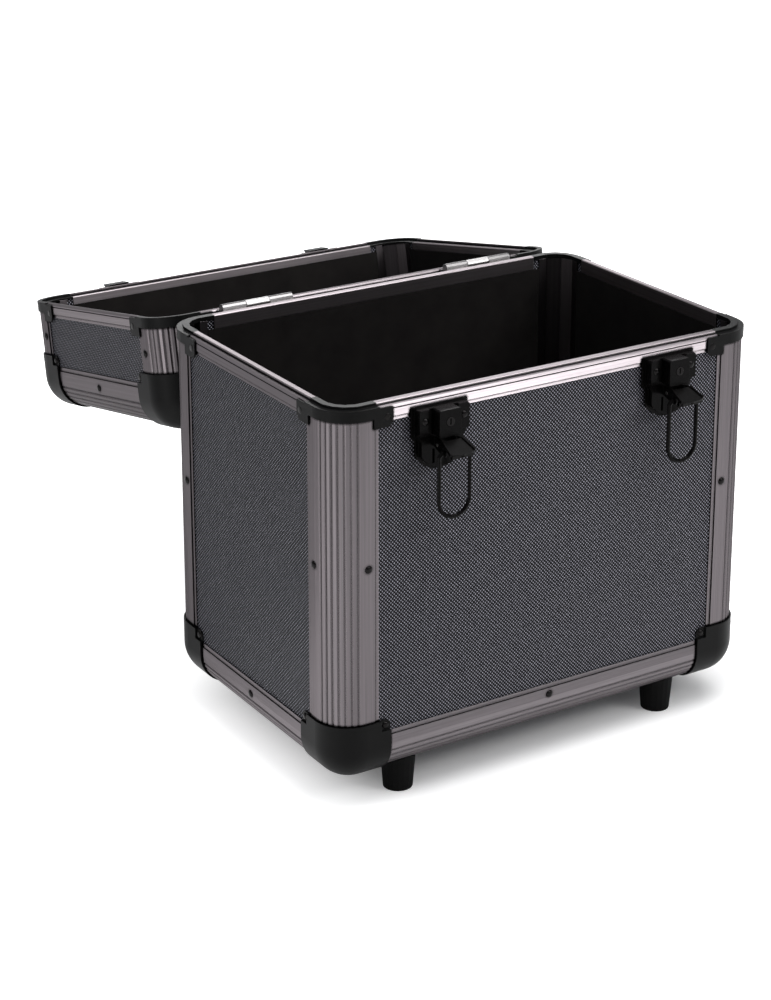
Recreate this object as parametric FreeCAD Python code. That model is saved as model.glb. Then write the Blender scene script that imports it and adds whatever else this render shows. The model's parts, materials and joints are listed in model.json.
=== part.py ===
import FreeCAD
import Part

import math
import os

# Carrying case for long-playing records, standing on its feet with the lid
# thrown right back. Millimetres. X runs along the front, the front faces -Y
# and Z is up. The origin is on the floor, under the middle of the open case.

V = FreeCAD.Vector

# The whole case
case_width = 360.0
case_depth = 238.0
body_height = 275.0
lid_height = 88.0
corner_radius = 25.0

# Walls: a panel held between the two skins of an aluminium extrusion
skin = 1.5
panel_thickness = 6.0
inner_skin = 1.0
lining_thickness = 1.2

# Corner extrusion, used for the posts and the rails
arm = 35.5
lip_width = 3.5
lip_drop = 0.7
inner_overlap = 5.0
end_web = 1.5
flute_count = 7
flute_pitch_deg = 10.5
flute_width = 1.3
flute_depth = 0.6

# Rim extrusion round the mouth of each half
rim_flange = 11.5
rim_lip_width = 2.2
rim_inner_flange = 9.0
rim_bead = 2.4
rim_groove = 0.45
rim_cap = 1.5
seat_gap = 0.3
tongue_setback = 3.6
tongue_height = 1.8
tongue_edge = 0.6
tongue_side_gap = 0.6
tongue_top_gap = 0.4
parting_gap = 0.3

# Moulded rim corners
rim_corner_proud = 1.2
rim_corner_band = 8.0
rim_corner_edge = 0.7
tab_end = 46.0
tab_width = 15.0
tab_drop = 15.0
tab_chamfer = 3.0
tab_top_gap = 1.0

# Moulded ball corners
ball_proud = 1.5
ball_arm = 44.5
ball_web_reach = 40.5
pocket_wall = 1.2
pocket_sheet = 1.2
pocket_chamfer = 2.6

# Feet
foot_height = 22.0
foot_top_radius = 12.5
foot_bottom_radius = 10.75
foot_from_side = 64.5
foot_from_front = 22.0
foot_well_radius = 6.0
foot_well_depth = 14.0
foot_rise = 8.0

# Hinges
hinge_offset = 7.5
hinge_from_side = 80.0
hinge_width = 60.0
hinge_leaf = 1.6
hinge_leaf_height = 24.0
hinge_leaf_setback = 1.5
hinge_barrel_radius = 3.4
hinge_pin_radius = 1.6
hinge_knuckles = 3
hinge_knuckle_gap = 0.3
hinge_web_drop = 9.0
running_gap = 0.05
lid_rest_gap = 0.5

# Latches, measured out from the front face (out) and up from the parting plane
latch_from_side = 82.5
latch_top = -5.5
latch_bottom = -52.0
latch_flange = 1.2
latch_half_width = 22.6
latch_lower_half_width = 19.4
latch_shoulder = -27.0
latch_taper = 3.5
latch_round_start = -40.0
latch_inset = 2.6
latch_floor_out = 5.5
latch_wing_out = 8.0
latch_wing_inner = 10.9
latch_wing_chamfer = 1.0
latch_crown = 0.9
latch_slot_x = 7.4
latch_slot_width = 1.9
latch_slot_top = -35.5
latch_slot_length = 10.5

# Lock box and its plug
lock_half_width = 8.7
lock_top = -6.2
lock_bottom = -25.4
lock_out = 15.0
lock_chamfer = 1.0
plug_radius = 3.3
plug_depth = 7.0
plug_proud = 0.3
plug_z = -14.8
plug_gap = 0.06
key_slot_width = 1.1
key_slot_height = 4.4
key_slot_depth = 4.0

# Lever: pivot, bail eye and flap, in the open position
pivot_out = 11.5
pivot_z = -31.0
pivot_radius = 1.25
lug_radius = 3.2
lug_outer_x = 6.9
lug_thickness = 1.6
ear_outer_x = 8.6
ear_thickness = 1.4
ear_radius = 3.0
lever_turn_deg = 70.0
eye_arm = 9.0
eye_open_deg = -19.4
eye_radius = 2.8
flap_root_out = 16.8
flap_root_z = -27.2
flap_tilt_deg = 20.0
flap_length = 15.8
flap_thickness = 1.4
flap_tip_half_width = 10.2
flap_lip = 4.0
flap_lip_hole = 2.4
flap_rim = 1.0
flap_bow = 1.6
ear_eye_start_deg = 250.0
ear_reach_share = 0.45

# Bail
bail_wire_radius = 1.5
bail_half_width = 12.3
bail_length = 46.9
bail_bend = 2.6
bail_hook_lean = 2.0

# Keepers on the lid
keeper_half_width = 22.0
keeper_height = 21.0
keeper_sheet = 1.6
keeper_chamfer = 4.0
ledge_half_width = 9.0
ledge_reach = 12.8
ledge_below = 0.8
ledge_gap = 0.75

# Handle on the lid
handle_span = 132.0
handle_reach = 42.0
handle_bracket_length = 30.0
handle_bracket_width = 24.0
handle_bracket_sheet = 2.0
handle_bracket_chamfer = 4.0
handle_axle_height = 13.5
handle_cheek = 3.0
handle_cheek_radius = 6.0
handle_cheek_foot = 18.0
handle_pin_radius = 2.5
handle_eye_width = 10.0
handle_eye_radius = 6.5
handle_side_gap = 0.4
handle_grip_length = 92.0
handle_grip_width = 22.0
handle_grip_thickness = 17.0
handle_arm_width = 12.0
handle_arm_thickness = 10.0
handle_corner_share = 0.3

# Small roundings are laid out in flats, counted here
fine_flat_count = 4
coarse_flat_count = 3
loop_flat_count = 10
wire_flat_count = 8
bar_flat_count = 12
plug_flat_count = 16
foot_flat_count = 18
shield_flat_count = 7

# How far a cutter runs past what it cuts
overrun = 5.0

# Worked out from the sizes above
channel_in = skin + panel_thickness
wall = channel_in + inner_skin
half_width = case_width / 2
half_depth = case_depth / 2
parting_z = foot_height + body_height
recess_setback = tongue_setback - tongue_side_gap
recess_depth = tongue_height + tongue_top_gap + parting_gap
lid_rim_height = lid_height - parting_gap

parts = {}


def add(name, shapes):
    """Keep a node, made of one solid or of several separate ones."""
    shapes = shapes if isinstance(shapes, list) else [shapes]
    solids = [solid for shape in shapes for solid in shape.Solids]
    parts.setdefault(name, []).extend(solids)


def polygon(points):
    """A flat face through points given in order."""
    return Part.Face(Part.makePolygon([V(*p) for p in points] + [V(*points[0])]))


def outline(steps):
    """A flat face from steps: a point, or a pair of points for an arc through the first."""
    edges, last = [], V(*steps[0])
    for step in steps[1:] + [steps[0]]:
        if isinstance(step[0], tuple):
            middle, end = V(*step[0]), V(*step[1])
            edges.append(Part.Arc(last, middle, end).toShape())
        else:
            end = V(*step)
            edges.append(Part.LineSegment(last, end).toShape())
        last = end
    return Part.Face(Part.Wire(edges))


def on_circle(centre, radius, angle_deg):
    """A point on a circle in the drawing plane."""
    angle = math.radians(angle_deg)
    return (centre[0] + radius * math.cos(angle), centre[1] + radius * math.sin(angle), 0)


def frame_of(origin, ex, ey):
    """The placement whose local X and Y run along ex and ey."""
    ez = ex.cross(ey)
    rows = []
    for x, y, z, o in zip(ex, ey, ez, origin):
        rows += [x, y, z, o]
    return FreeCAD.Placement(FreeCAD.Matrix(*rows, 0, 0, 0, 1))


def placed(shape, placement):
    """A copy of a shape, moved by a placement."""
    copy = shape.copy()
    copy.Placement = placement.multiply(copy.Placement)
    return copy


def shifted(shape, x=0, y=0, z=0):
    """A copy of a shape, moved without turning."""
    return placed(shape, FreeCAD.Placement(V(x, y, z), FreeCAD.Rotation()))


def box(x0, x1, y0, y1, z0, z1):
    """A block between two corners."""
    return Part.makeBox(x1 - x0, y1 - y0, z1 - z0, V(x0, y0, z0))


def fused(shapes):
    """One solid from overlapping shapes."""
    return shapes[0].fuse(shapes[1:]).removeSplitter()


def chamfered_box(x0, x1, y0, y1, z0, z1, chamfer, axis):
    """A block with its four edges along one axis bevelled."""
    block = box(x0, x1, y0, y1, z0, z1)
    edges = [e for e in block.Edges if abs(e.tangentAt(e.FirstParameter).dot(axis)) == 1]
    return block.makeChamfer(chamfer, edges)


def chords(centre, radius, start_deg, end_deg, steps):
    """The corners of a chain of flats laid round the outside of an arc."""
    step = (end_deg - start_deg) / steps
    reach = radius / math.cos(math.radians(step / 2))
    return [on_circle(centre, reach, start_deg + (i + 0.5) * step) for i in range(steps)]


def bar(x0, x1, y, z, radius, flats=bar_flat_count, bore=False):
    """A many-sided bar along X. A bore's flats touch the radius, a pin's edges do."""
    reach = radius / math.cos(math.pi / flats) if bore else radius
    around = [on_circle((y, z), reach, 360 * i / flats) for i in range(flats)]
    return polygon([(x0, py, pz) for py, pz, _ in around]).extrude(V(x1 - x0, 0, 0))


def rod(x0, x1, y, z, radius):
    """A round pin along X, or the cutter for a round bore."""
    return Part.makeCylinder(radius, x1 - x0, V(x0, y, z), X)


def joined(rings):
    """A solid from rings of points, each joined to the next by flat faces."""
    faces = [polygon(rings[0]), polygon(rings[-1])]
    for lower, upper in zip(rings, rings[1:]):
        for i in range(len(lower)):
            faces.append(polygon([lower[i - 1], lower[i], upper[i], upper[i - 1]]))
    shell = Part.makeCompound(faces)
    shell.sewShape()
    solid = Part.makeSolid(shell.Shells[0])
    if solid.Volume < 0:
        solid.reverse()
    return solid


# Frames of the four upright corners and of the four edges of a tray.
# In each, local X and Y point into the case from the outside corner.
X, Y, Z = V(1, 0, 0), V(0, 1, 0), V(0, 0, 1)
ball_axis = X - (Y + Z) * 0.5
upright_corners = {
    "front_left": (V(-half_width, -half_depth, 0), X, Y),
    "front_right": (V(half_width, -half_depth, 0), Y, -X),
    "back_right": (V(half_width, half_depth, 0), -X, -Y),
    "back_left": (V(-half_width, half_depth, 0), -Y, X),
}
# Each side: the middle of its outside face, the way in, and the way along
sides = {
    "front": (V(0, -half_depth, 0), Y, X, half_width),
    "right": (V(half_width, 0, 0), -X, Y, half_depth),
    "back": (V(0, half_depth, 0), -Y, -X, half_width),
    "left": (V(-half_width, 0, 0), X, -Y, half_depth),
}


def corner_extrusion(length):
    """The fluted corner profile, its outside corner on the Z axis."""
    r, a, s, c, d = corner_radius, arm, skin, wall, lip_drop
    lip = a - lip_width
    inner_end = r + inner_overlap
    web = r - end_web
    inside = 2 * s
    centre = (r, r)
    rounding = []
    half_flute = math.degrees(flute_width / r)
    for i in range(flute_count):
        turn = 225 - (i - (flute_count - 1) / 2) * flute_pitch_deg
        rounding += [on_circle(centre, r, turn + half_flute), on_circle(centre, r - flute_depth, turn),
                     on_circle(centre, r, turn - half_flute)]
    section = polygon([
        (a, d, 0), (lip, d, 0), (lip, 0, 0), (r, 0, 0), *rounding, (0, r, 0),
        (0, lip, 0), (d, lip, 0), (d, a, 0), (s, a, 0), (s, r, 0),
        (channel_in, r, 0), (channel_in, inner_end, 0), (c, inner_end, 0), (c, web, 0),
        (inside, web, 0), *chords(centre, r - inside, 180, 270, coarse_flat_count), (web, inside, 0),
        (web, c, 0), (inner_end, c, 0), (inner_end, channel_in, 0), (r, channel_in, 0),
        (r, s, 0), (a, s, 0),
    ])
    return section.extrude(V(0, 0, length))


def rim_section(tongued):
    """Rim profile: X is the depth into the wall, Y the height over the parting plane."""
    top_inner = tongue_height if tongued else -recess_depth + parting_gap
    setback = tongue_setback if tongued else recess_setback
    e = tongue_edge
    groove_z = -rim_bead - rim_groove
    points = [
        (skin, -rim_flange, 0), (lip_drop, -rim_flange, 0), (lip_drop, -rim_flange + rim_lip_width, 0),
        (0, -rim_flange + rim_lip_width + lip_drop, 0), (0, groove_z - rim_groove, 0),
        (rim_groove, groove_z, 0), (0, -rim_bead, 0),
        *chords((rim_bead, -rim_bead), rim_bead, 180, 90, coarse_flat_count), (rim_bead, 0, 0),
        (setback, 0, 0),
    ]
    if tongued:
        points += [(setback, top_inner - e, 0), (setback + e, top_inner, 0)]
    else:
        points += [(setback, top_inner, 0)]
    under = min(0, top_inner) - rim_cap
    points += [
        (wall - e, top_inner, 0), (wall, top_inner - e, 0), (wall, -rim_inner_flange, 0),
        (channel_in, -rim_inner_flange, 0), (channel_in, under, 0), (skin, under, 0),
    ]
    return polygon(points)


def rim_corner(tongued):
    """Moulded corner of the rim; its outside corner on the Z axis, parting plane at 0."""
    r, p, e = corner_radius, rim_corner_proud, rim_corner_edge
    top_inner = tongue_height if tongued else -recess_depth + parting_gap
    setback = tongue_setback if tongued else recess_setback
    under = min(0, top_inner) - rim_cap
    centre = (r, r)

    def ring(outer, inner, bottom, top):
        """A band round the corner between two depths into the wall; only its outside is round."""
        round_side = [(outer, arm, 0), (outer, r, 0)]
        far_side = [(r, outer, 0), (arm, outer, 0)]
        back = [(arm, inner, 0), *chords(centre, r - inner, 270, 180, fine_flat_count), (inner, arm, 0)]
        if outer < 0:
            face = outline([*round_side, (on_circle(centre, r - outer, 225), far_side[0]),
                            far_side[1], *back])
        else:
            face = polygon([*round_side, *chords(centre, r - outer, 180, 270, fine_flat_count),
                            *far_side, *back])
        return shifted(face.extrude(V(0, 0, top - bottom)), z=bottom)

    solids = [ring(-p, 0, -rim_corner_band, under), ring(-p, wall, under, min(0, top_inner))]
    solids.append(ring(setback, wall, 0, top_inner) if tongued else ring(-p, setback, top_inner, 0))
    tab_start, t, c = tab_end - tab_width, -tab_top_gap, tab_chamfer
    tab = polygon([(0, tab_start, t), (0, tab_start, -tab_drop), (0, tab_end - c, -tab_drop),
                   (0, tab_end, c - tab_drop), (0, tab_end, t - e), (0, tab_end - e, t)])
    tab = tab.extrude(V(-p, 0, 0))
    return fused(solids + [tab, tab.mirror(V(0, 0, 0), V(1, -1, 0))])


def ball_corner():
    """Moulded ball corner with a riveted pocket on each of its three faces."""
    r, p, a, n = corner_radius, ball_proud, ball_arm, pocket_chamfer
    size = a + overrun
    turns = [FreeCAD.Rotation(V(1, 1, 1), angle) for angle in (0, 120, 240)]
    about = [FreeCAD.Placement(V(0, 0, 0), turn) for turn in turns]

    # The outside is a ball, three round edges and three slabs about a core
    ball = Part.makeSphere(r + p, V(r, r, r), ball_axis).common(box(-p, r, -p, r, -p, r))
    edge = Part.makeCylinder(r + p, a - r, V(r, r, r), Z).common(box(-p, r, -p, r, r, a))
    slab = box(-p, r, r, a, r, a)
    outside = fused([box(r, a, r, a, r, a), ball]
                    + [placed(piece, turn) for turn in about for piece in (edge, slab)])

    # The inside follows the extrusions with flats and is webbed across the corner
    round_edge = polygon([(0, size, 0), *chords((r, r), r, 180, 270, fine_flat_count), (size, 0, 0),
                          (size, size, 0)])
    channel = round_edge.extrude(V(0, 0, size))
    inside = placed(channel, about[0]).common(placed(channel, about[1])).common(placed(channel, about[2]))
    w = ball_web_reach
    web = Part.makeSolid(Part.makeShell([polygon(face) for face in (
        [(0, 0, 0), (w, 0, 0), (0, w, 0)], [(0, 0, 0), (0, w, 0), (0, 0, w)],
        [(0, 0, 0), (0, 0, w), (w, 0, 0)], [(w, 0, 0), (0, w, 0), (0, 0, w)])]))
    shell = outside.cut(inside.cut(web))

    seat = box(arm, a, arm, a, -p, skin)
    pocket = box(arm + pocket_wall, size, arm + pocket_wall, size, -p - overrun, skin - pocket_sheet)
    trim = polygon([(a - n, a, -p - overrun), (a, a - n, -p - overrun), (size, size, -p - overrun)])
    trim = trim.extrude(V(0, 0, p + skin + 2 * overrun))
    solid = shell.fuse([placed(seat, turn) for turn in about])
    solid = solid.cut([placed(cutter, turn) for turn in about for cutter in (pocket, trim)])
    return solid.removeSplitter()


def tray(height, rim_height, tongued):
    """All pieces of one half, standing on the plane Z = 0 with its mouth up."""
    made = {}
    under = (0 if tongued else recess_depth - parting_gap) + rim_cap
    panel_top = rim_height - under
    r = corner_radius

    for name, (middle, inward, along, reach) in sides.items():
        face = frame_of(middle, along, inward)
        run = reach - r
        panel = box(-run, run, skin, channel_in, r, panel_top)
        made["panel_" + name] = [placed(panel, face)]
        lining_run = run - inner_overlap
        lining = box(-lining_run, lining_run, channel_in, channel_in + lining_thickness,
                     r + inner_overlap, rim_height - rim_inner_flange)
        made.setdefault("lining", []).append(placed(lining, face))
        length = reach - arm
        rail = corner_extrusion(2 * length)
        start = middle - along * length
        made["rail_" + name] = [placed(rail, frame_of(start, inward, Z))]
        rim = rim_section(tongued).extrude(V(0, 0, 2 * length))
        made["rim_" + name] = [placed(rim, frame_of(start + V(0, 0, rim_height), inward, Z))]

    floor_x, floor_y = half_width - r, half_depth - r
    made["panel_floor"] = [box(-floor_x, floor_x, -floor_y, floor_y, skin, channel_in)]
    fx, fy = floor_x - inner_overlap, floor_y - inner_overlap
    made["lining"].append(box(-fx, fx, -fy, fy, channel_in, channel_in + lining_thickness))

    post = corner_extrusion(panel_top - arm)
    ball = ball_corner()
    cap = rim_corner(tongued)
    for name, (corner, ex, ey) in upright_corners.items():
        made["post_" + name] = [placed(post, frame_of(corner + V(0, 0, arm), ex, ey))]
        made.setdefault("ball_corners", []).append(placed(ball, frame_of(corner, ex, ey)))
        made.setdefault("rim_corners", []).append(
            placed(cap, frame_of(corner + V(0, 0, rim_height), ex, ey)))
    return made


def foot():
    """A tapered rubber foot with a well for its screw; it rises past the case's underside."""
    slope = (foot_top_radius - foot_bottom_radius) / foot_height
    top = foot_height + foot_rise

    def level(radius, height):
        around = [on_circle((0, 0), radius, 360 * i / foot_flat_count) for i in range(foot_flat_count)]
        return [(x, y, height) for x, y, _ in around]

    cone = joined([level(foot_bottom_radius, 0), level(foot_bottom_radius + slope * top, top)])
    return cone.cut(polygon(level(foot_well_radius, 0)).extrude(V(0, 0, foot_well_depth)))


def hinge_leaf_shape(own):
    """One leaf: a plate with its knuckles; the hinge axis on the X axis, the case at +Y."""
    foot_z = -hinge_leaf_setback - hinge_leaf_height
    plate = box(-hinge_width / 2, hinge_width / 2, hinge_offset - hinge_leaf, hinge_offset,
                foot_z, -hinge_leaf_setback)
    seat = box(-hinge_width / 2, hinge_width / 2, hinge_offset - hinge_leaf, hinge_offset + skin,
               foot_z, -rim_flange - seat_gap)
    step = hinge_width / hinge_knuckles
    solids = [plate, seat]
    for i in range(hinge_knuckles):
        start = -hinge_width / 2 + i * step
        if (i % 2 == 0) == own:
            x0 = start + (hinge_knuckle_gap / 2 if i > 0 else 0)
            x1 = start + step - (hinge_knuckle_gap / 2 if i < hinge_knuckles - 1 else 0)
            barrel = bar(x0, x1, 0, 0, hinge_barrel_radius)
            b = hinge_barrel_radius
            reach = hinge_offset - hinge_leaf / 2
            web = polygon([(x0, 0, -b), (x0, reach, -hinge_web_drop),
                           (x0, reach, -hinge_leaf_setback), (x0, 0, 0)])
            solids += [barrel, web.extrude(V(x1 - x0, 0, 0))]
    bore = bar(-hinge_width / 2, hinge_width / 2, 0, 0, hinge_pin_radius + running_gap, bore=True)
    return fused(solids).cut(bore)


def hinge_pin():
    """The plain pin through the knuckles."""
    return rod(-hinge_width / 2, hinge_width / 2, 0, 0, hinge_pin_radius)


# Latch pieces are drawn in a frame of their own: X along the front, Y out from
# the front face, Z up from the parting plane.

def turned(out, z, angle_deg):
    """A point turned about the lever's pivot, from outward towards down."""
    angle = math.radians(angle_deg)
    d_out, dz = out - pivot_out, z - pivot_z
    return (pivot_out + d_out * math.cos(angle) + dz * math.sin(angle),
            pivot_z + dz * math.cos(angle) - d_out * math.sin(angle))


def eye_place():
    """Where the bail's eye is when the lever is open."""
    angle = math.radians(eye_open_deg)
    return pivot_out + eye_arm * math.cos(angle), pivot_z + eye_arm * math.sin(angle)


def shield(inset, out0, out1):
    """The base plate's outline, square at the top and round at the bottom."""
    w, n = latch_half_width - inset, latch_lower_half_width - inset
    top, bottom = latch_top - (latch_crown if inset else 0), latch_bottom + inset
    start = latch_round_start
    sag = start - bottom
    round_radius = (n ** 2 + sag ** 2) / (2 * sag)
    spread = math.degrees(math.asin(n / round_radius))
    foot_round = chords((0, bottom + round_radius), round_radius, spread - 90, -spread - 90, shield_flat_count)
    points = [(-w, top), (w, top), (w, latch_shoulder + inset), (n, latch_shoulder - latch_taper),
              (n, start), *[(x, z) for x, z, _ in foot_round], (-n, start),
              (-n, latch_shoulder - latch_taper), (-w, latch_shoulder + inset)]
    face = polygon([(x, out0, z) for x, z in points])
    return face.extrude(V(0, out1 - out0, 0))


def latch_base():
    """Pressed base: flange, raised wings, slots and the lugs for the pivot."""
    flange = shield(0, 0, latch_flange)
    raised = shield(latch_inset, 0, latch_floor_out)
    seat = shield(latch_inset, -skin, latch_flange).common(
        box(-latch_half_width, latch_half_width, -skin, latch_flange, latch_bottom,
            -rim_flange - seat_gap))
    wing_outer = latch_half_width - latch_inset
    wings = []
    lugs = []
    for side in (-1, 1):
        x0, x1 = sorted((side * latch_wing_inner, side * wing_outer))
        wing = chamfered_box(x0, x1, latch_flange, latch_wing_out, latch_shoulder + latch_inset,
                             latch_top - latch_crown, latch_wing_chamfer, Y)
        wings.append(wing)
        l0 = min(side * lug_outer_x, side * (lug_outer_x - lug_thickness))
        around = chords((pivot_out, pivot_z), lug_radius, -90, 90, fine_flat_count)
        lug = polygon([(l0, 0, pivot_z - lug_radius), *[(l0, out, z) for out, z, _ in around],
                       (l0, 0, pivot_z + lug_radius)])
        lugs.append(lug.extrude(V(lug_thickness, 0, 0)))
    solid = fused([flange, raised, seat] + wings + lugs)
    cuts = [bar(-lug_outer_x, lug_outer_x, pivot_out, pivot_z, pivot_radius, bore=True)]
    for side in (-1, 1):
        middle = side * latch_slot_x
        w = latch_slot_width / 2
        cuts.append(box(middle - w, middle + w, latch_flange, latch_floor_out + overrun,
                        latch_slot_top - latch_slot_length, latch_slot_top))
    return solid.cut(cuts)


def lock_box():
    """Square lock box with the bore for its plug."""
    block = chamfered_box(-lock_half_width, lock_half_width, latch_floor_out, lock_out,
                          lock_bottom, lock_top, lock_chamfer, Y)
    bore = Part.makeCylinder(plug_radius + plug_gap, plug_depth + overrun,
                             V(0, lock_out - plug_depth, plug_z), Y)
    return block.cut(bore)


def lock_plug():
    """Round plug with a key slot."""
    plug = bar(lock_out - plug_depth, lock_out + plug_proud, 0, plug_z, plug_radius, flats=plug_flat_count)
    plug.rotate(V(0, 0, 0), Z, 90)
    slot = box(-key_slot_width / 2, key_slot_width / 2, lock_out - key_slot_depth,
               lock_out + plug_proud + overrun, plug_z - key_slot_height / 2,
               plug_z + key_slot_height / 2)
    return plug.cut(slot)


def lever():
    """Lever, open: a flared flap with turned-up edges, a lip and two ears."""
    tilt = math.radians(flap_tilt_deg)
    along = (math.cos(tilt), -math.sin(tilt))
    down = (-math.sin(tilt), -math.cos(tilt))
    eye_out, eye_z = eye_place()

    def at(run, drop):
        return (flap_root_out + along[0] * run + down[0] * drop,
                flap_root_z + along[1] * run + down[1] * drop)

    # Flap seen square on, then laid along its tilt
    w0, w1, n = ear_outer_x, flap_tip_half_width, flap_length
    bow_radius = (w1 ** 2 + flap_bow ** 2) / (2 * flap_bow)
    spread = math.degrees(math.asin(w1 / bow_radius))
    bow = chords((0, n - bow_radius), bow_radius, 90 - spread, 90 + spread, coarse_flat_count)
    flap = polygon([(-w0, 0, 0), (w0, 0, 0), (w1, n - flap_bow, 0), *bow, (-w1, n - flap_bow, 0)])
    flap = flap.extrude(V(0, 0, -flap_thickness))
    rims = []
    for side in (-1, 1):
        rim = polygon([(side * w0, 0, -flap_thickness), (side * (w0 - flap_rim), 0, -flap_thickness),
                       (side * (w1 - flap_rim), n - flap_bow, -flap_thickness),
                       (side * w1, n - flap_bow, -flap_thickness)])
        rims.append(rim.extrude(V(0, 0, flap_thickness + flap_rim)))
    lip = box(-w1 + flap_bow, w1 - flap_bow, n - flap_thickness - flap_bow / 2, n - flap_bow / 2,
              -flap_lip, -flap_thickness / 2)
    hole = box(-flap_lip_hole / 2, flap_lip_hole / 2, 0, n + overrun,
               -flap_lip + flap_lip_hole / 2, -flap_thickness)
    blade = fused([flap, lip] + rims).cut(hole)
    lay = frame_of(V(0, flap_root_out, flap_root_z), X, V(0, along[0], along[1]))
    solids = [placed(blade, lay)]
    # Ears: a plate from the pivot to the flap and the bail's eye
    around_pivot = chords((pivot_out, pivot_z), ear_radius, 90, 270, fine_flat_count)
    around_eye = chords((eye_out, eye_z), eye_radius, ear_eye_start_deg, 360, coarse_flat_count)
    corners = [(out, z) for out, z, _ in around_pivot + around_eye]
    corners += [at(flap_length * ear_reach_share, flap_thickness), at(0, 0)]
    for side in (-1, 1):
        x0 = min(side * ear_outer_x, side * (ear_outer_x - ear_thickness))
        solids.append(polygon([(x0, out, z) for out, z in corners]).extrude(V(ear_thickness, 0, 0)))
    whole = fused(solids)
    x = ear_outer_x
    bores = [bar(-x, x, pivot_out, pivot_z, pivot_radius + running_gap, bore=True),
             rod(-x, x, eye_out, eye_z, bail_wire_radius + running_gap)]
    return whole.cut(bores)


def bail():
    """Wire loop hanging from the lever's ears, its ends turned in through the eyes."""
    eye_out, eye_z = eye_place()
    w, b, stub = bail_half_width, bail_bend, ear_outer_x - ear_thickness
    loop_z = eye_z - bail_length + w
    half = [(stub, eye_z), (w - b, eye_z), (w, eye_z - b), (w, loop_z)]
    loop = [(x, z) for x, z, _ in chords((0, loop_z), w, 0, -180, loop_flat_count)]
    corners = half + loop + [(-x, z) for x, z in half[::-1]]
    path = Part.makePolygon([V(x, eye_out, z) for x, z in corners])
    wire = [on_circle((eye_out, eye_z), bail_wire_radius, 360 * i / wire_flat_count)
            for i in range(wire_flat_count + 1)]
    section = Part.makePolygon([V(stub, out, z) for out, z, _ in wire])
    mitred = 1
    return path.makePipeShell([section], True, False, mitred)


def latch_pin():
    """Pivot pin through the lugs and the lever's ears."""
    return rod(-ear_outer_x, ear_outer_x, pivot_out, pivot_z, pivot_radius)


def bail_apex():
    """Where the middle of the loop is when the latch is closed: out and up."""
    eye_out, eye_z = turned(*eye_place(), lever_turn_deg)
    return eye_out - bail_hook_lean, eye_z + math.sqrt(bail_length ** 2 - bail_hook_lean ** 2)


def keeper():
    """Keeper on the lid's front, with a crowned ledge for the bail; same frame as the latch."""
    apex_z = bail_apex()[1]
    w, thick, tall = keeper_half_width, keeper_sheet, parting_gap + keeper_height
    plate = chamfered_box(-w, w, 0, thick, parting_gap, tall, keeper_chamfer, Y)
    seat = chamfered_box(-w, w, -skin, thick, parting_gap, tall, keeper_chamfer, Y)
    seat = seat.common(box(-w, w, -skin, thick, parting_gap + rim_flange + seat_gap, tall))
    radius = bail_half_width - bail_wire_radius - ledge_gap
    spread = math.degrees(math.asin(ledge_half_width / radius))
    crown = chords((0, apex_z - bail_half_width), radius, 90 + spread, 90 - spread, fine_flat_count)
    ledge = polygon([(-ledge_half_width, 0, -ledge_below), *[(x, 0, z) for x, z, _ in crown],
                     (ledge_half_width, 0, -ledge_below)]).extrude(V(0, ledge_reach, 0))
    return fused([plate, seat, ledge])


def handle_bracket():
    """Bracket on the lid: a base plate with two cheeks; the lid at Z = 0, outward +Z."""
    solids = [chamfered_box(-handle_bracket_length / 2, handle_bracket_length / 2,
                            -handle_bracket_width / 2, handle_bracket_width / 2,
                            0, handle_bracket_sheet, handle_bracket_chamfer, Z)]
    inner = handle_eye_width / 2 + handle_side_gap
    around = chords((0, handle_axle_height), handle_cheek_radius, 0, 180, fine_flat_count)
    for x0 in (-inner - handle_cheek, inner):
        cheek = polygon([(x0, -handle_cheek_foot / 2, 0), (x0, handle_cheek_foot / 2, 0)]
                        + [(x0, y, z) for y, z, _ in around])
        solids.append(cheek.extrude(V(handle_cheek, 0, 0)))
    reach = inner + handle_cheek
    bore = bar(-reach, reach, 0, handle_axle_height, handle_pin_radius, bore=True)
    return fused(solids).cut(bore)


def handle_pin():
    """Pin through the bracket's cheeks."""
    reach = handle_eye_width / 2 + handle_side_gap + handle_cheek
    return rod(-reach, reach, 0, handle_axle_height, handle_pin_radius)


def handle_station(x, width, thickness):
    """The grip's section at one place along it: a block with bevelled corners."""
    y, z = width / 2, thickness / 2
    n = thickness * handle_corner_share
    level = handle_reach - handle_grip_thickness / 2
    points = [(y - n, z), (n - y, z), (-y, z - n), (-y, n - z), (n - y, -z), (y - n, -z), (y, n - z), (y, z - n)]
    return [(x, across, level + up) for across, up in points]


def handle_grip():
    """Moulded grip: two arms from the pins and a thicker bar, reaching along +Z from the axle."""
    half, w = handle_span / 2, handle_eye_width / 2
    level = handle_reach - handle_grip_thickness / 2
    arm_half = handle_arm_thickness / 2
    solids = []
    bores = []
    for side in (-1, 1):
        x0, x1 = side * half - w, side * half + w
        solids.append(bar(x0, x1, 0, 0, handle_eye_radius))
        solids.append(box(x0, x1, -arm_half, arm_half, 0, level))
        bores.append(bar(x0, x1, 0, 0, handle_pin_radius + running_gap, bore=True))
    # The bar swells from the arms to the grip in the middle
    stations = [handle_station(-half - w, handle_arm_width, handle_arm_thickness),
                handle_station(-handle_grip_length / 2, handle_grip_width, handle_grip_thickness),
                handle_station(handle_grip_length / 2, handle_grip_width, handle_grip_thickness),
                handle_station(half + w, handle_arm_width, handle_arm_thickness)]
    return fused(solids + [joined(stations)]).cut(bores)


def lid_lean():
    """How far past straight back the lid leans before its corners meet the body, in degrees."""
    a = hinge_offset + corner_radius
    b = lid_height - corner_radius
    c = corner_radius + ball_proud - hinge_offset + lid_rest_gap
    size = math.hypot(a, b)
    return math.degrees(math.acos(c / size) - math.atan2(b, a))


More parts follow.
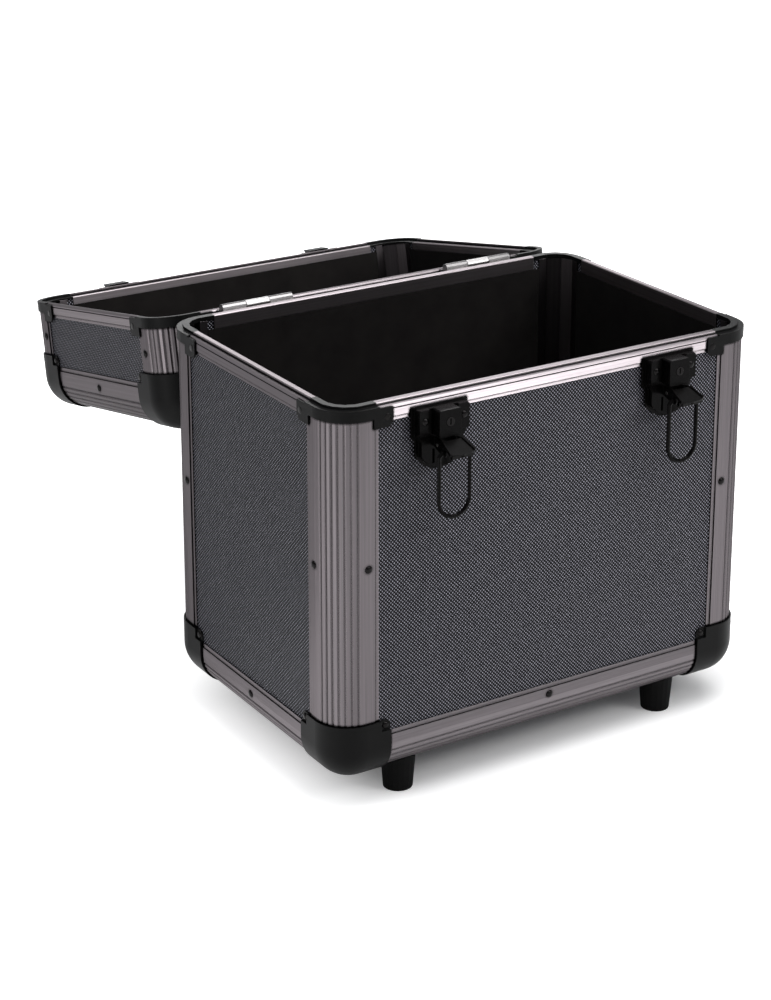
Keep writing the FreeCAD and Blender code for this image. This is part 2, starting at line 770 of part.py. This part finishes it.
# Assembly
lean = lid_lean()
body_place = FreeCAD.Placement(V(0, 0, foot_height), FreeCAD.Rotation())
hinge_axis = V(0, half_depth + hinge_offset, parting_z)
# The lid is drawn mouth up with its hinge side at -Y, then tilted back about the hinge
lid_hinge = V(0, -half_depth - hinge_offset, lid_height)
lid_turn = FreeCAD.Rotation(X, -lean)
lid_place = FreeCAD.Placement(hinge_axis - lid_turn.multVec(lid_hinge), lid_turn)

for name, shapes in tray(body_height, body_height, True).items():
    add("body_" + name, [placed(shape, body_place) for shape in shapes])
# Turned over when shut, so that the side by the hinges, drawn as the front, is the lid's back
lid_names = {"front": "back", "back": "front", "floor": "top"}
for name, shapes in tray(lid_height, lid_rim_height, False).items():
    kind, _, side = name.partition("_")
    name = "posts" if kind == "post" else kind + "_" + lid_names.get(side, side)
    add("lid_" + name.rstrip("_"), [placed(shape, lid_place) for shape in shapes])

# Feet, trimmed to the rounded lower edges
lower = [(y, z) for y, z, _ in
         chords((corner_radius - half_depth, foot_height + corner_radius), corner_radius, 180, 270, fine_flat_count)]
lower += [(-y, z) for y, z in lower[::-1]]
envelope = polygon([(-half_width, y, z) for y, z in lower + [(half_depth, parting_z), (-half_depth, parting_z)]])
envelope = envelope.extrude(V(case_width, 0, 0))
foot_x, foot_y = half_width - foot_from_side, half_depth - foot_from_front
for x, y in ((-foot_x, -foot_y), (foot_x, -foot_y), (foot_x, foot_y), (-foot_x, foot_y)):
    add("feet", shifted(foot(), x, y).cut(envelope))

# Hinges
body_leaf = hinge_leaf_shape(True)
lid_leaf = hinge_leaf_shape(False)
pin = hinge_pin()
hinge_x = half_width - hinge_from_side
for x in (-hinge_x, hinge_x):
    place = frame_of(hinge_axis + X * x, -X, -Y)
    add("hinge_body_leaves", placed(body_leaf, place))
    add("hinge_pins", placed(pin, place))
    lid_side = FreeCAD.Placement(hinge_axis + X * x, lid_turn)
    add("hinge_lid_leaves", placed(lid_leaf, lid_side))

# Latches on the body's front, turned half round to face it, and keepers on the lid's front
latch_x = half_width - latch_from_side
for label, x in (("left", -latch_x), ("right", latch_x)):
    place = FreeCAD.Placement(V(x, -half_depth, parting_z), FreeCAD.Rotation(Z, 180))
    add("latch_bases", placed(latch_base(), place))
    add("latch_lock_boxes", placed(lock_box(), place))
    add("latch_pins", placed(latch_pin(), place))
    for piece, shape in (("plug", lock_plug()), ("lever", lever()), ("bail", bail())):
        add(f"latch_{label}_{piece}", placed(shape, place))
    keeper_place = FreeCAD.Placement(V(x, half_depth, lid_height), FreeCAD.Rotation(Y, 180))
    add("lid_keepers", placed(keeper(), lid_place.multiply(keeper_place)))

# Handle under the open lid's top, hanging straight down from its axle
for side in (-1, 1):
    flip = FreeCAD.Placement(V(side * handle_span / 2, 0, skin), FreeCAD.Rotation(X, 180))
    add("handle_brackets", placed(placed(handle_bracket(), flip), lid_place))
    add("handle_pins", placed(placed(handle_pin(), flip), lid_place))
axle = lid_place.multVec(V(0, 0, skin - handle_axle_height))
add("handle_grip", placed(handle_grip(), FreeCAD.Placement(axle, FreeCAD.Rotation(X, 180))))

# The origin goes under the middle of the open case
spread = Part.makeCompound([solid for solids in parts.values() for solid in solids])
extent = spread.optimalBoundingBox(False, False)
origin_y = (extent.YMin + extent.YMax) / 2

os.makedirs("parts", exist_ok=True)
for name, solids in parts.items():
    shape = solids[0] if len(solids) == 1 else Part.makeCompound(solids)
    shape = shifted(shape, 0, -origin_y)
    bad = [solid for solid in solids if not solid.isValid() or solid.Volume <= 0]
    print(name, len(solids), round(shape.Volume, 1), "bad" if bad else "")
    shape.exportStep(f"parts/{name}.step")

print("nodes", len(parts), "extent", extent, "origin y", origin_y)
print("lid leans", lean, "about", hinge_axis - Y * origin_y)
print("handle turns about", axle - Y * origin_y)
for label, (out, z) in {"lever": (pivot_out, pivot_z), "bail": eye_place(), "plug": (lock_out, plug_z),
                        "closed bail": bail_apex()}.items():
    print(label, "at y", -half_depth - out - origin_y, "z", parting_z + z)
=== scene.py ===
from functools import cache
import json
import math

import bpy
from mathutils import Matrix, Vector


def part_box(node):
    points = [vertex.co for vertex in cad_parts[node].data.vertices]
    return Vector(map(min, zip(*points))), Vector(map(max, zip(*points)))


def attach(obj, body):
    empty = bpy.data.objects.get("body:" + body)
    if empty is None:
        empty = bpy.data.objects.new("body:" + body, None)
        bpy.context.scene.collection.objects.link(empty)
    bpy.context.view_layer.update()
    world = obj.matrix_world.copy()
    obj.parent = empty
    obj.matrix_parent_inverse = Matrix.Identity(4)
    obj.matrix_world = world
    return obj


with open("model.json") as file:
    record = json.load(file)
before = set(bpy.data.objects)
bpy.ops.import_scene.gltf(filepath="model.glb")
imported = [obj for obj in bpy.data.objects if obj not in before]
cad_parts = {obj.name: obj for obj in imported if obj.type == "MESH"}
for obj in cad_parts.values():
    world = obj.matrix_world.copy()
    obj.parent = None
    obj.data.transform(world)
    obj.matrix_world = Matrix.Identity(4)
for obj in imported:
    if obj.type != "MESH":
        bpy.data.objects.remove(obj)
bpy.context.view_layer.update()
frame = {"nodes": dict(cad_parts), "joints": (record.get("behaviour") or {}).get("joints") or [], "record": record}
nodes = frame["nodes"]
slot_of = {part["node"]: part["material_slot"] for part in frame["record"]["subparts"]}

# Sizes of the case, in metres, as the part has them
WIDTH, DEPTH, BODY_HEIGHT, LID_HEIGHT = 0.360, 0.238, 0.275, 0.088
FOOT_HEIGHT = 0.022
PARTING_GAP = 0.0003
HALF_W, HALF_D = WIDTH / 2, DEPTH / 2
floor_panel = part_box("body_panel_floor")
MIDDLE_Y = (floor_panel[0].y + floor_panel[1].y) / 2

hinge = next(joint for joint in frame["joints"] if joint["name"] == "lid_hinge")
HINGE_AT = Vector(hinge["pos_m"])
LEAN = math.radians(hinge["range_deg"][1] - 180)
HINGE_OUT = HINGE_AT.y - MIDDLE_Y - HALF_D

# From a half that stands mouth up on the origin to where it is in the case
body_matrix = Matrix.Translation((0, MIDDLE_Y, FOOT_HEIGHT))
lid_matrix = (Matrix.Translation(HINGE_AT) @ Matrix.Rotation(-LEAN, 4, "X")
              @ Matrix.Translation((0, HALF_D + HINGE_OUT, -LID_HEIGHT)))


# Shader nodes

# The backdrop in reflections: the side where it is bright, the cosines between which it
# gets bright, and how bright it is elsewhere
BRIGHT_SIDE = (-0.94, -0.34, 0.0)
BRIGHT_FROM, BRIGHT_TO = 0.8, 0.99
DIM = 0.3
RAYS = 6  # for each shaded or rounded point


class Tree:
    """Short ways to add nodes to an emptied node tree."""

    def __init__(self, tree):
        self.tree = tree
        tree.nodes.clear()

    def add(self, kind, **settings):
        node = self.tree.nodes.new(kind)
        for key, value in settings.items():
            setattr(node, key, value)
        return node

    def put(self, socket, value):
        if isinstance(value, bpy.types.NodeSocket):
            self.tree.links.new(value, socket)
        else:
            socket.default_value = value

    def maths(self, operation, *values):
        node = self.add("ShaderNodeMath", operation=operation)
        for socket, value in zip(node.inputs, values):
            self.put(socket, value)
        return node.outputs[0]

    def vector(self, operation, *values):
        """A vector, or a number where the operation gives one."""
        node = self.add("ShaderNodeVectorMath", operation=operation)
        for socket, value in zip(node.inputs, values):
            self.put(socket, value)
        return node.outputs["Value" if operation in ("LENGTH", "DOT_PRODUCT") else "Vector"]

    def span(self, value, low, high, start=0.0, end=1.0, smooth=False):
        """A value that runs from start to end, spread between low and high."""
        node = self.add("ShaderNodeMapRange",
                        interpolation_type="SMOOTHSTEP" if smooth else "LINEAR")
        self.put(node.inputs["Value"], value)
        for key, number in (("From Min", start), ("From Max", end),
                            ("To Min", low), ("To Max", high)):
            node.inputs[key].default_value = number
        return node.outputs["Result"]

    def backdrop(self, place):
        """How bright the backdrop is to a ray: 1 to the camera, in reflections bright at one
        side and dimmer elsewhere, and 0 to the light on things."""
        ray = self.add("ShaderNodeLightPath")
        reflected = self.maths("MAXIMUM", ray.outputs["Is Glossy Ray"],
                               ray.outputs["Is Transmission Ray"])
        toward = self.vector("DOT_PRODUCT", self.vector("NORMALIZE", place), BRIGHT_SIDE)
        share = self.span(toward, DIM, 1.0, BRIGHT_FROM, BRIGHT_TO, smooth=True)
        return self.maths("MAXIMUM", ray.outputs["Is Camera Ray"],
                          self.maths("MULTIPLY", reflected, share))


class Material(Tree):
    """A new material with one shader."""

    def __init__(self, name):
        self.material = bpy.data.materials.new(name)
        self.material.use_nodes = True
        super().__init__(self.material.node_tree)
        self.shader = self.add("ShaderNodeBsdfPrincipled")
        out = self.add("ShaderNodeOutputMaterial")
        self.put(out.inputs["Surface"], self.shader.outputs["BSDF"])
        self.place = self.add("ShaderNodeTexCoord").outputs["Object"]

    def upright(self, lean):
        """The object's place with the lid's lean taken out."""
        if not lean:
            return self.place
        node = self.add("ShaderNodeVectorRotate", rotation_type="X_AXIS")
        self.put(node.inputs["Vector"], self.place)
        node.inputs["Angle"].default_value = lean
        return node.outputs["Vector"]

    def noise(self, place, scale, detail=3.0, rough=0.55):
        node = self.add("ShaderNodeTexNoise")
        self.put(node.inputs["Vector"], place)
        node.inputs["Scale"].default_value = scale
        node.inputs["Detail"].default_value = detail
        node.inputs["Roughness"].default_value = rough
        return node.outputs["Fac"]

    def ramp(self, value, *stops):
        node = self.add("ShaderNodeValToRGB")
        self.put(node.inputs["Fac"], value)
        elements = node.color_ramp.elements
        while len(elements) < len(stops):
            elements.new(0.5)
        for element, (at, colour) in zip(elements, stops):
            element.position = at
            element.color = colour
        return node.outputs["Color"]

    def mottled(self, noise, dark, light):
        """Two colours that change over the middle of a noise."""
        return self.ramp(noise, (0.3, dark), (0.7, light))

    def with_painted_shade(self, colour, reach, power):
        """A colour darkened by painted shade in grooves and narrow gaps."""
        hollow = self.add("ShaderNodeAmbientOcclusion", samples=RAYS)
        hollow.inputs["Distance"].default_value = reach
        node = self.add("ShaderNodeVectorMath", operation="SCALE")
        self.put(node.inputs[0], colour)
        self.put(node.inputs["Scale"], self.maths("POWER", hollow.outputs["AO"], power))
        return node.outputs["Vector"]

    def bump(self, height, distance, strength, edge=0.0, under=None):
        """Relief on the surface, over rounded edges and, where given, over a broader relief
        in metres."""
        normal = None
        if edge:
            bevel = self.add("ShaderNodeBevel", samples=RAYS)
            bevel.inputs["Radius"].default_value = edge
            normal = bevel.outputs["Normal"]
        for relief, depth, share in ((under, 1.0, 1.0), (height, distance, strength)):
            if relief is None:
                continue
            node = self.add("ShaderNodeBump")
            self.put(node.inputs["Height"], relief)
            node.inputs["Distance"].default_value = depth
            node.inputs["Strength"].default_value = share
            if normal:
                self.put(node.inputs["Normal"], normal)
            normal = node.outputs["Normal"]
        self.put(self.shader.inputs["Normal"], normal)

    def set(self, **values):
        for key, value in values.items():
            self.put(self.shader.inputs[key.replace("_", " ")], value)


# Materials

def linear(*srgb):
    """Screen colour, 0 to 255, as light values."""
    out = []
    for value in srgb:
        value = value / 255
        out.append(value / 12.92 if value <= 0.04045 else ((value + 0.055) / 1.055) ** 2.4)
    return (*out, 1.0)


def darker(colour, share):
    return [channel * share for channel in colour[:3]] + [1.0]


# For each kind of extrusion, its two shades and how far the body's outer flats lean up
# The shades are painted light: one finish, painted darker on the posts and lighter on the rims.
EXTRUSION_PAINTED_LIGHT = {
    "post": ((106, 101, 103), (122, 116, 119), 0.0),
    "rail": ((118, 113, 115), (134, 128, 131), 0.28),
    "rim": ((146, 139, 142), (164, 157, 160), 0.45),
}
OUTER_BAND = 0.004
# Scales of the drawn lines, and the laminate's studs across and up
DRAWN_ALONG, DRAWN_ACROSS = 6.0, 900.0
STUD_PITCH = (0.00274, 0.00288)


@cache
def aluminium(kind, axis, lean):
    """Anodised extrusion, with faint lines drawn along its length, painted shade in its grooves, and painted light
    in how light or dark each kind is.
    """
    dark, light, crown = EXTRUSION_PAINTED_LIGHT[kind]
    finish = Material(f"aluminium_{kind}_{axis}" + ("_lid" if lean else ""))
    place = finish.upright(lean)
    stretch = [DRAWN_ALONG if name == axis else DRAWN_ACROSS for name in "xyz"]
    stretched = finish.vector("MULTIPLY", place, stretch)
    lines = finish.noise(stretched, scale=1.0, detail=4.0, rough=0.6)
    patches = finish.noise(place, scale=9.0, detail=2.0)
    colour = finish.mottled(lines, linear(*dark), linear(*light))
    # Painted shade: the colour is darkened in the flutes and narrow gaps.
    finish.set(Base_Color=finish.with_painted_shade(colour, reach=0.0022, power=8.0), Metallic=1.0,
               Roughness=finish.span(patches, 0.28, 0.36), Specular_Tint=(0.5, 0.5, 0.5, 1))
    flats = None
    if crown and not lean:
        centred = finish.vector("SUBTRACT", place, (0, MIDDLE_Y, 0))
        from_middle = finish.vector("ABSOLUTE", centred)
        outer = []
        for side, half in (((1, 0, 0), HALF_W), ((0, 1, 0), HALF_D)):
            across = finish.vector("DOT_PRODUCT", from_middle, side)
            outer.append(finish.maths("GREATER_THAN", across, half - OUTER_BAND))
        rise = finish.vector("DOT_PRODUCT", place, (0, 0, -crown))
        flats = finish.maths("MULTIPLY", rise, finish.maths("MAXIMUM", *outer))
    finish.bump(lines, distance=0.00003, strength=0.6, edge=0.0002, under=flats)
    return finish.material


@cache
def laminate(across, up, lean):
    """Dark sheet embossed all over with small staggered studs, their tops painted pale as a painted highlight."""
    finish = Material(f"laminate_{across}{up}" + ("_lid" if lean else ""))
    place = finish.upright(lean)
    waves = []
    for sign in (1, -1):
        turns = {across: 1 / STUD_PITCH[0], up: sign / STUD_PITCH[1]}
        direction = [2 * math.pi * turns.get(name, 0.0) for name in "xyz"]
        wave = finish.maths("COSINE", finish.vector("DOT_PRODUCT", place, direction))
        waves.append(finish.maths("MULTIPLY_ADD", wave, 0.5, 0.5))
    stud = finish.maths("MULTIPLY", *waves)
    # Painted highlight: the stud tops are painted pale, the sheet between them near black.
    colour = finish.ramp(stud, (0.0, linear(14, 14, 16)), (0.28, linear(30, 30, 34)),
                         (0.72, linear(174, 173, 184)))
    patches = finish.noise(place, scale=30.0)
    finish.set(Base_Color=colour, Roughness=finish.span(patches, 0.42, 0.5),
               Specular_IOR_Level=0.12)
    finish.bump(stud, distance=0.0005, strength=0.9)
    return finish.material


def black(name, colour, low, high, depth=0.00002, edge=0.0004, gloss=0.07):
    """Dark plastic, rubber or coated steel with a fine grain, roughness from low to high."""
    finish = Material(name)
    patches = finish.noise(finish.place, scale=25.0)
    grain = finish.noise(finish.place, scale=900.0, detail=2.0)
    finish.set(Base_Color=finish.mottled(patches, darker(colour, 0.8), colour),
               Roughness=finish.span(patches, low, high), Specular_IOR_Level=gloss)
    finish.bump(grain, depth, strength=0.6, edge=edge)
    return finish.material


def metal(name, colour, low, high):
    """Plated steel, roughness from low to high."""
    finish = Material(name)
    patches = finish.noise(finish.place, scale=60.0)
    grain = finish.noise(finish.place, scale=700.0, detail=2.0)
    finish.set(Base_Color=finish.mottled(patches, darker(colour, 0.85), colour),
               Roughness=finish.span(patches, low, high), Metallic=1.0)
    finish.bump(grain, distance=0.00001, strength=0.5, edge=0.0003)
    return finish.material


def cloth(name):
    """Short dark pile."""
    finish = Material(name)
    patches = finish.noise(finish.place, scale=40.0)
    pile = finish.noise(finish.place, scale=1400.0, detail=4.0, rough=0.7)
    finish.set(Base_Color=finish.mottled(patches, linear(23, 21, 21), linear(31, 29, 28)),
               Roughness=finish.span(pile, 0.85, 1.0), Specular_IOR_Level=0.1)
    finish.bump(pile, distance=0.0002, strength=0.8)
    return finish.material


DARK_NICKEL = metal("dark_nickel", linear(36, 35, 35), 0.18, 0.28)
STEEL = metal("steel", linear(150, 148, 148), 0.25, 0.35)
FINISHES = {
    "black_plastic": black("black_plastic", linear(18, 18, 18), 0.34, 0.44, gloss=0.1),
    "black_steel": black("black_steel", linear(9, 8, 8), 0.2, 0.3, edge=0.0003),
    "rubber": black("rubber", linear(19, 19, 19), 0.62, 0.75, depth=0.00004),
    "steel": STEEL,
    "lining": cloth("lining"),
}


def finish_for(name):
    """The material of one part, shared by all that match."""
    slot = slot_of[name]
    lean = LEAN if name.startswith("lid_") else 0.0
    sideways = name.endswith(("_left", "_right"))
    if slot == "aluminium":
        kind = next(kind for kind in EXTRUSION_PAINTED_LIGHT if "_" + kind in name)
        along = "z" if kind == "post" else "y" if sideways else "x"
        return aluminium(kind, along, lean)
    if slot == "laminate":
        up = "y" if name.endswith(("_floor", "_top")) else "z"
        across = "y" if sideways else "x"
        return laminate(across, up, lean)
    return DARK_NICKEL if name.endswith("_plug") else FINISHES[slot]


for name, part in nodes.items():
    part.data.materials.clear()
    part.data.materials.append(finish_for(name))


# Small fasteners

# Rings of a domed head from the seat up, as shares of its radius and height
DOME = [(1.0, 0.0), (0.96, 0.3), (0.84, 0.6), (0.62, 0.84), (0.32, 0.96)]
DOME_SIDES = 16


def new_piece(name, points, faces, material):
    """An object with one mesh of one material."""
    mesh = bpy.data.meshes.new(name)
    mesh.from_pydata([tuple(point) for point in points], [], faces)
    mesh.update()
    mesh.materials.append(material)
    piece = bpy.data.objects.new(name, mesh)
    bpy.context.scene.collection.objects.link(piece)
    return piece


def dome(radius, height):
    """Points and faces of a low domed head."""
    points = []
    for share, rise in DOME:
        for i in range(DOME_SIDES):
            turn = 2 * math.pi * i / DOME_SIDES
            points.append((radius * share * math.cos(turn), radius * share * math.sin(turn),
                           height * rise))
    points.append((0, 0, height))
    faces = []
    for ring in range(len(DOME)):
        low, high = ring * DOME_SIDES, (ring + 1) * DOME_SIDES
        for i in range(DOME_SIDES):
            j = (i + 1) % DOME_SIDES
            if ring < len(DOME) - 1:
                faces.append((low + i, low + j, high + j, high + i))
            else:
                faces.append((low + i, low + j, high))
    return points, faces


def heads(name, places, radius, height, material, body, slot):
    """One mesh of domed heads, each on a point and facing a direction."""
    points, faces = [], []
    shape, sides = dome(radius, height)
    for at, facing in places:
        turn = facing.to_track_quat("Z", "Y")
        start = len(points)
        points += [at + turn @ Vector(point) for point in shape]
        faces += [tuple(start + i for i in side) for side in sides]
    piece = new_piece(name, points, faces, material)
    for polygon in piece.data.polygons:
        polygon.use_smooth = True
    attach(piece, body)


def on(matrix, x, y, z, facing):
    """A point and a direction of one half, taken to where that half is."""
    return matrix @ Vector((x, y, z)), (matrix.to_3x3() @ Vector(facing)).normalized()


# Places of the rivets on each half: in from its corner, out from its side, up from its
# bottom or down from its mouth
POST_IN, TAB_IN, POCKET_IN = 0.027, 0.0415, 0.0406
BODY_POST_UP, LID_POST_UP = 0.16, 0.05965
TAB_OUT, TAB_DOWN = 0.0012, 0.0078
POCKET_DEPTH = 0.0003
LONG_RAIL_UP, SHORT_RAIL_UP = 0.0275, 0.025


def corner_rivets(matrix, mouth, post_up):
    """Domed rivets of one half, on posts, rails and ball corners, and flat ones on its tabs."""
    domed, pockets, flat = [], [], []
    for sx in (-1, 1):
        for sy in (-1, 1):
            for group, inset, out, up in ((domed, POST_IN, 0.0, post_up),
                                          (flat, TAB_IN, TAB_OUT, mouth - TAB_DOWN),
                                          (pockets, POCKET_IN, -POCKET_DEPTH, POCKET_IN)):
                x_in, y_in = sx * (HALF_W - inset), sy * (HALF_D - inset)
                group.append(on(matrix, x_in, sy * (HALF_D + out), up, (0, sy, 0)))
                group.append(on(matrix, sx * (HALF_W + out), y_in, up, (sx, 0, 0)))
            pockets.append(on(matrix, sx * (HALF_W - POCKET_IN), sy * (HALF_D - POCKET_IN),
                              POCKET_DEPTH, (0, 0, -1)))
    for side in (-1, 1):
        domed.append(on(matrix, 0, side * HALF_D, LONG_RAIL_UP, (0, side, 0)))
        domed.append(on(matrix, side * HALF_W, 0, SHORT_RAIL_UP, (side, 0, 0)))
    return domed + pockets, flat


body_rivets, body_tab_rivets = corner_rivets(body_matrix, BODY_HEIGHT, BODY_POST_UP)
lid_rivets, lid_tab_rivets = corner_rivets(lid_matrix, LID_HEIGHT - PARTING_GAP, LID_POST_UP)

# Two rivets each for the hinge leaves, the keepers and the latches
HINGE_X, HINGE_ALONG, HINGE_DOWN = HALF_W - 0.080, 0.020, 0.0183
LATCH_X, LATCH_ALONG, LATCH_DOWN = HALF_W - 0.0825, 0.0155, 0.0145
KEEPER_DOWN = 0.0135
PLATE_OUT, LATCH_OUT = 0.0016, 0.008
latch_rivets = []
for side in (-1, 1):
    for along in (-HINGE_ALONG, HINGE_ALONG):
        x, y = side * HINGE_X + along, HALF_D + PLATE_OUT
        body_rivets.append(on(body_matrix, x, y, BODY_HEIGHT - HINGE_DOWN, (0, 1, 0)))
        lid_rivets.append(on(lid_matrix, x, -y, LID_HEIGHT - HINGE_DOWN, (0, -1, 0)))
    for along in (-LATCH_ALONG, LATCH_ALONG):
        x = side * LATCH_X + along
        lid_rivets.append(on(lid_matrix, x, HALF_D + PLATE_OUT, LID_HEIGHT - KEEPER_DOWN,
                             (0, 1, 0)))
        latch_rivets.append(on(body_matrix, x, -HALF_D - LATCH_OUT, BODY_HEIGHT - LATCH_DOWN,
                               (0, -1, 0)))

FOOT_X, FOOT_Y, SCREW_UP = HALF_W - 0.0645, HALF_D - 0.022, 0.014
foot_screws = [(Vector((sx * FOOT_X, MIDDLE_Y + sy * FOOT_Y, SCREW_UP)), Vector((0, 0, -1)))
               for sx in (-1, 1) for sy in (-1, 1)]

# Radius and height of the heads
DOMED, FLAT, SCREW = (0.0027, 0.0014), (0.0025, 0.00028), (0.0042, 0.0024)
heads("body_rivets", body_rivets, *DOMED, DARK_NICKEL, "body", "steel")
heads("lid_rivets", lid_rivets, *DOMED, DARK_NICKEL, "lid", "steel")
heads("body_tab_rivets", body_tab_rivets, *FLAT, DARK_NICKEL, "body", "steel")
heads("lid_tab_rivets", lid_tab_rivets, *FLAT, DARK_NICKEL, "lid", "steel")
heads("latch_rivets", latch_rivets, *DOMED, DARK_NICKEL, "body", "steel")
heads("foot_screws", foot_screws, *SCREW, STEEL, "body", "steel")


# Floor and world

FLOOR_SIZE, FLOOR_DROP = 30.0, 0.0002
# Painted shadow on the floor under the case, where its glow is held back: how far inside
# the footprint it starts to get lighter, its shift to the right, over what distance it
# turns white, and its darkest value
PAINTED_SHADOW_INSET, PAINTED_SHADOW_X, PAINTED_SHADOW_REACH, PAINTED_SHADOW_DARK = 0.05, 0.035, 0.115, 0.03


def floor_material():
    """Pale floor that turns white further out; near the case its glow is held back as a painted shadow, in which
    the lamps' shadows show.
    """
    finish = Material("floor")
    patches = finish.noise(finish.place, scale=2.0, detail=2.0)
    colour = finish.ramp(patches, (0.0, (0.84, 0.84, 0.84, 1)), (1.0, (0.86, 0.86, 0.86, 1)))
    finish.set(Base_Color=colour, Roughness=0.9, Specular_IOR_Level=0.1)
    centred = finish.vector("SUBTRACT", finish.place, (PAINTED_SHADOW_X, MIDDLE_Y, 0))
    from_middle = finish.vector("ABSOLUTE", centred)
    past = finish.vector("SUBTRACT", from_middle, (HALF_W - PAINTED_SHADOW_INSET, HALF_D - PAINTED_SHADOW_INSET, 1))
    away = finish.vector("LENGTH", finish.vector("MAXIMUM", past, (0, 0, 0)))
    # Painted shadow: the glow is held low in a box about the footprint, shifted to the right.
    white = finish.span(away, PAINTED_SHADOW_DARK, 1.0, 0.0, PAINTED_SHADOW_REACH, smooth=True)
    finish.set(Emission_Color=(1, 1, 1, 1),
               Emission_Strength=finish.maths("MULTIPLY", white, finish.backdrop(finish.place)))
    return finish.material


half = FLOOR_SIZE / 2
floor = new_piece("floor", [(-half, -half, 0), (half, -half, 0), (half, half, 0), (-half, half, 0)],
                  [(0, 1, 2, 3)], floor_material())
floor.location.z = -FLOOR_DROP

world = bpy.data.worlds.new("studio")
bpy.context.scene.world = world
world.use_nodes = True
sky = Tree(world.node_tree)
mix = sky.add("ShaderNodeMixShader")
toward = sky.add("ShaderNodeTexCoord").outputs["Generated"]
sky.put(mix.inputs["Fac"], sky.backdrop(toward))
# What lights the case, and what is seen behind it
for socket, colour, strength in ((mix.inputs[1], (0.9, 0.92, 1.0, 1), 0.17),
                                 (mix.inputs[2], (1, 1, 1, 1), 1.0)):
    node = sky.add("ShaderNodeBackground")
    node.inputs["Color"].default_value = colour
    node.inputs["Strength"].default_value = strength
    sky.put(socket, node.outputs["Background"])
sky.put(sky.add("ShaderNodeOutputWorld").inputs["Surface"], mix.outputs["Shader"])


# Lights and camera

def softbox(name, place, aim, width, height, power):
    """A rectangular light facing a point."""
    data = bpy.data.lights.new(name, "AREA")
    data.shape = "RECTANGLE"
    data.size, data.size_y = width, height
    data.energy = power
    lamp = bpy.data.objects.new(name, data)
    lamp.location = place
    lamp.rotation_mode = "QUATERNION"
    lamp.rotation_quaternion = (Vector(aim) - Vector(place)).to_track_quat("-Z", "Y")
    bpy.context.scene.collection.objects.link(lamp)


softbox("top", (0.35, -0.25, 1.9), (0, 0, 0.2), width=1.6, height=1.4, power=32.0)
softbox("left", (-1.9, -0.4, 0.35), (0, -0.1, 0.15), width=0.22, height=0.6, power=2.0)
softbox("front", (1.05, -1.6, 1.25), (0, -0.1, 0.2), width=0.9, height=0.6, power=13.0)
softbox("back", (1.0, 1.7, 0.9), (0, 0, 0.2), width=1.0, height=0.6, power=8.0)

# The camera of the photograph, its sensor and lens in millimetres, its angles in radians
SENSOR, LENS, SHIFT_Y = 36.0, 87.574, -0.2
AZIMUTH, PITCH = -0.5611, 0.3019
CAMERA_AT = (-0.94733, -1.40428 + MIDDLE_Y, 0.84302)
camera_data = bpy.data.cameras.new("camera")
camera_data.sensor_width = SENSOR
camera_data.lens = LENS
camera_data.shift_y = SHIFT_Y
camera_data.clip_end = 100.0
camera = bpy.data.objects.new("camera", camera_data)
camera.location = CAMERA_AT
forward = Vector((-math.sin(AZIMUTH) * math.cos(PITCH), math.cos(AZIMUTH) * math.cos(PITCH),
                  -math.sin(PITCH)))
camera.rotation_mode = "QUATERNION"
camera.rotation_quaternion = forward.to_track_quat("-Z", "Y")
bpy.context.scene.collection.objects.link(camera)
bpy.context.scene.camera = camera
bpy.context.scene.view_settings.view_transform = "Standard"
